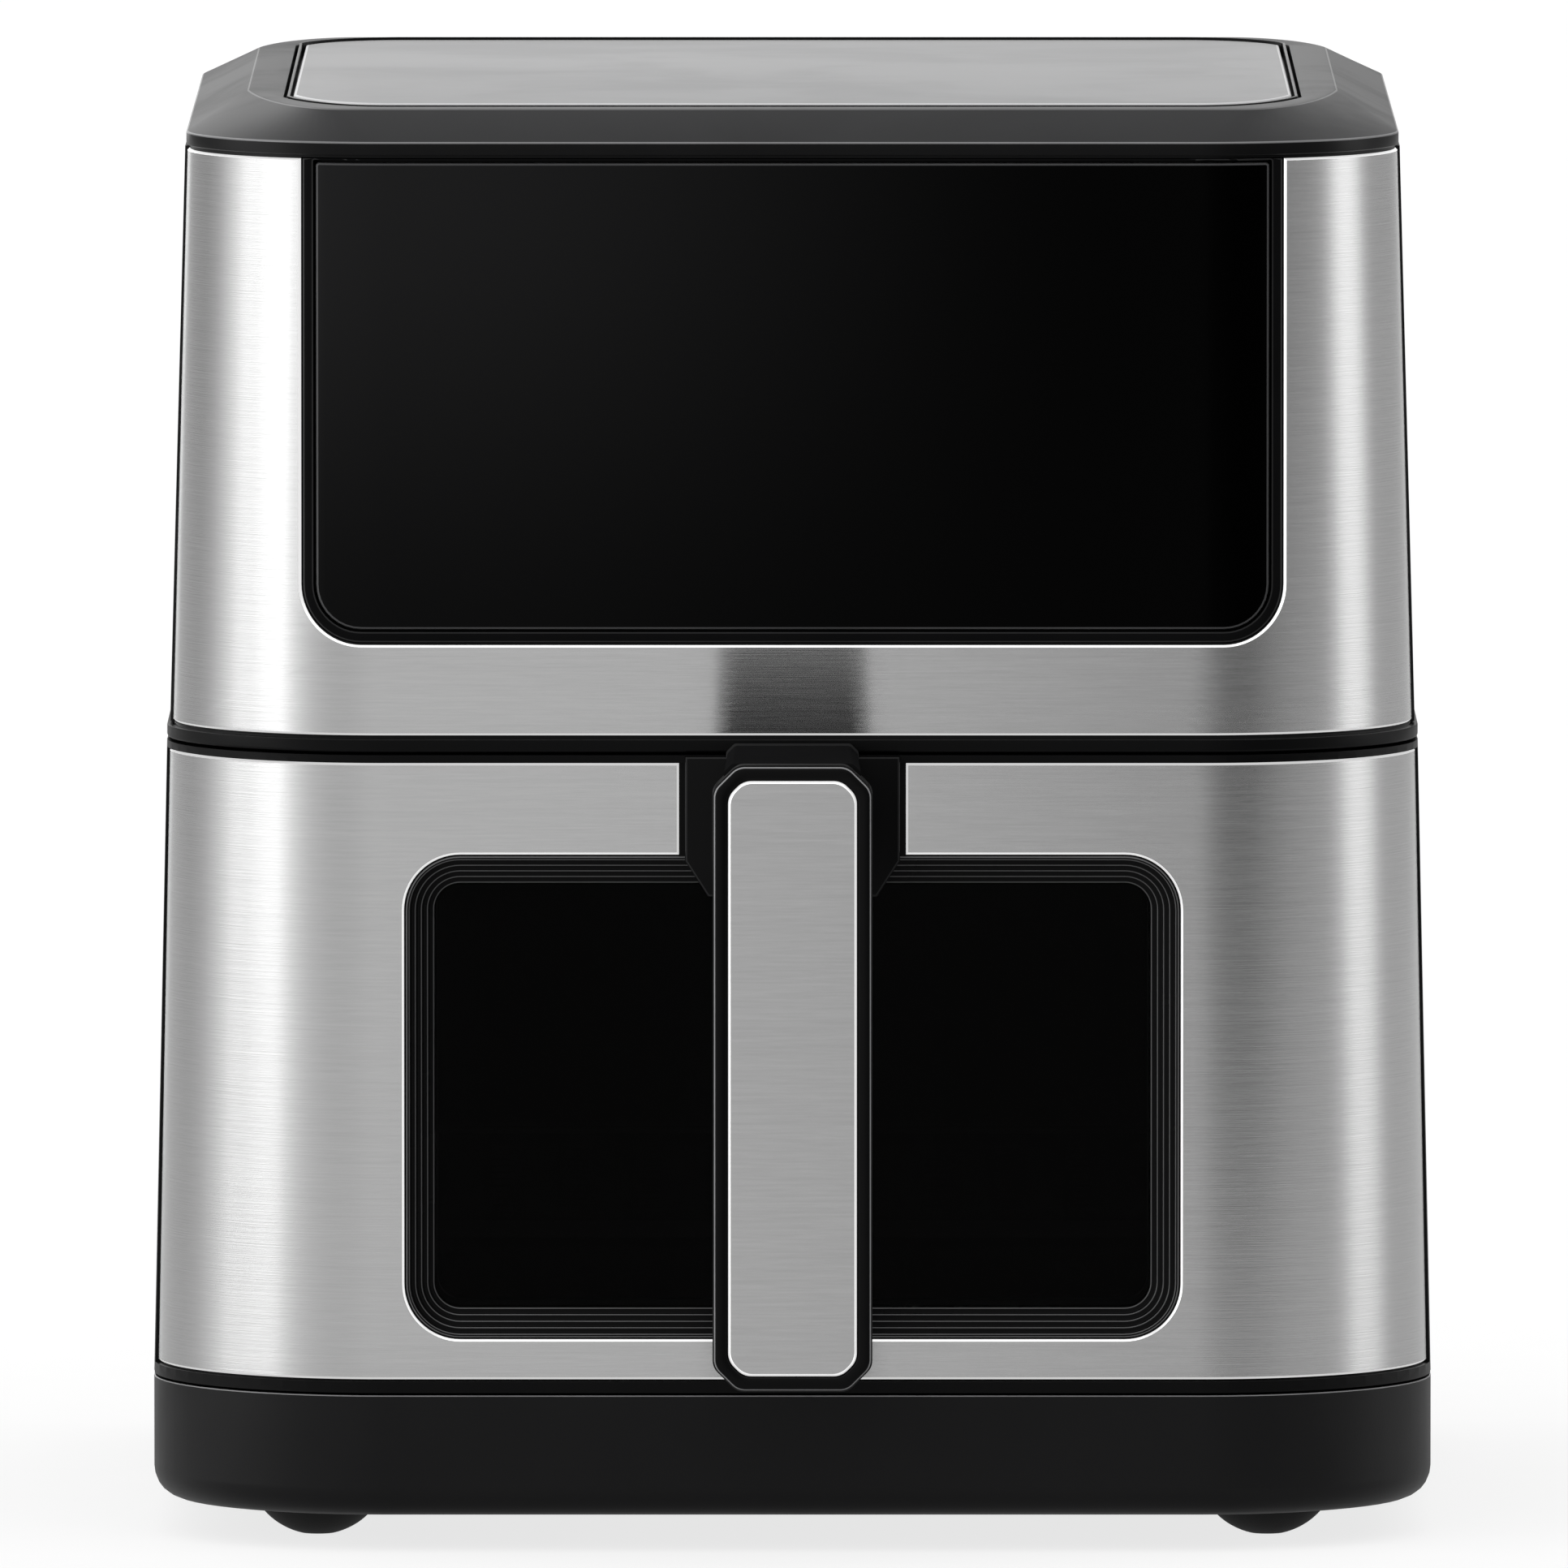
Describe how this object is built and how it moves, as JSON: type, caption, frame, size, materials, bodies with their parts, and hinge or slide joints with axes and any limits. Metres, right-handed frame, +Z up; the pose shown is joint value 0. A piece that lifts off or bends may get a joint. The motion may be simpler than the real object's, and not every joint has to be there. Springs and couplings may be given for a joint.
{
  "type": "air fryer",
  "caption": "Single-drawer air fryer with a window in the drawer front, an upright handle, a touch panel above it and brushed steel skins on a black body.",
  "frame": {"origin": "bottom centre of the whole object, on the surface that it stands on", "axes": "+Z up, -Y towards the person in front of the drawer, +X to that person's right"},
  "size_m": [0.2976, 0.369, 0.3346],
  "materials": {
    "satin_black": "satin moulded black plastic",
    "gloss_black": "polished black plastic",
    "handle_black": "fine satin black plastic",
    "brushed_steel": "brushed across the width, with a clear coat and polished edges",
    "lid_grey": "satin dark metallic grey paint on a moulding",
    "top_grey": "satin light metallic grey paint on a moulding",
    "black_glass": "gloss black panel, printed black behind",
    "clear_glass": "dark tinted heat-proof pane",
    "lamp_glass": "clear heat-proof glass",
    "rubber": "matt moulded rubber",
    "silicone": "matt silicone",
    "bright_steel": "plated steel",
    "galvanised": "galvanised sheet",
    "element_steel": "heat-darkened steel tube",
    "aluminium": "stamped sheet",
    "nonstick": "black non-stick coating",
    "blanket": "ceramic fibre blanket",
    "circuit": "green circuit board with parts",
    "pale_plastic": "natural white plastic and ceramic",
    "dark_plastic": "plain black plastic",
    "copper": "enamelled copper and sintered bronze"
  },
  "bodies": {
    "housing": {"base_tray": "satin_black", "rubber_feet": "rubber", "base_screws": "bright_steel", "lower_shell": "satin_black", "front_bulkhead": "satin_black", "seam_ring": "satin_black", "upper_shell": "satin_black", "upper_steel": "brushed_steel", "panel_bezel": "gloss_black", "touch_glass": "black_glass", "board_carrier": "satin_black", "control_board": "circuit", "display_module": "pale_plastic", "touch_springs": "copper", "lid_cover": "lid_grey", "top_trim_ring": "top_grey", "top_panel": "top_grey", "cavity_liner": "galvanised", "insulation_blanket": "blanket", "pan_rails": "galvanised", "heater_dome": "galvanised", "heating_element": "element_steel", "element_clips": "bright_steel", "fan_guard": "bright_steel", "temp_sensor": "bright_steel", "thermal_fuse": "pale_plastic", "lamp_holder": "pale_plastic", "lamp_bulb": "lamp_glass", "lamp_lens": "lamp_glass", "air_duct": "satin_black", "rear_vent_cover": "satin_black", "vent_screws": "bright_steel", "cord_inlet": "dark_plastic", "power_board": "circuit", "motor_bracket": "galvanised", "motor_stator": "galvanised", "motor_windings": "copper", "motor_yoke": "galvanised", "motor_bearings": "copper", "drawer_switch": "satin_black"},
    "fan": {"motor_shaft": "bright_steel", "motor_rotor": "aluminium", "hot_air_fan": "aluminium", "fan_nut": "bright_steel", "cooling_fan": "dark_plastic"},
    "switch_plunger": {"switch_plunger": "pale_plastic"},
    "drawer": {"drawer_frame": "satin_black", "drawer_steel": "brushed_steel", "window_frame": "gloss_black", "window_glass": "clear_glass", "drawer_inner_panel": "satin_black", "pan": "nonstick", "inner_gasket": "rubber", "inner_glass": "clear_glass", "handle_bracket": "handle_black", "handle_grip": "handle_black", "handle_inlay": "brushed_steel", "handle_screws": "bright_steel"},
    "plate": {"crisper_plate": "nonstick", "plate_caps": "silicone"}
  },
  "joints": [
    {"name": "drawer_slide", "type": "slide", "parent": "housing", "child": "drawer", "axis": [0, -1, 0], "range_m": [0, 0.26]},
    {"name": "plate_lift", "type": "slide", "parent": "drawer", "child": "plate", "axis": [0, 0, 1], "range_m": [0, 0.105]},
    {"name": "fan_spin", "type": "hinge", "parent": "housing", "child": "fan", "pos_m": [0, 0.0275, 0.205], "axis": [0, 0, 1], "continuous": true},
    {"name": "plunger_slide", "type": "slide", "parent": "housing", "child": "switch_plunger", "axis": [0, -1, 0], "range_m": [0, 0.002]}
  ],
  "couplings": [
    {"joint": "plunger_slide", "follows": "drawer_slide", "ratio": 0.0076923}
  ]
}
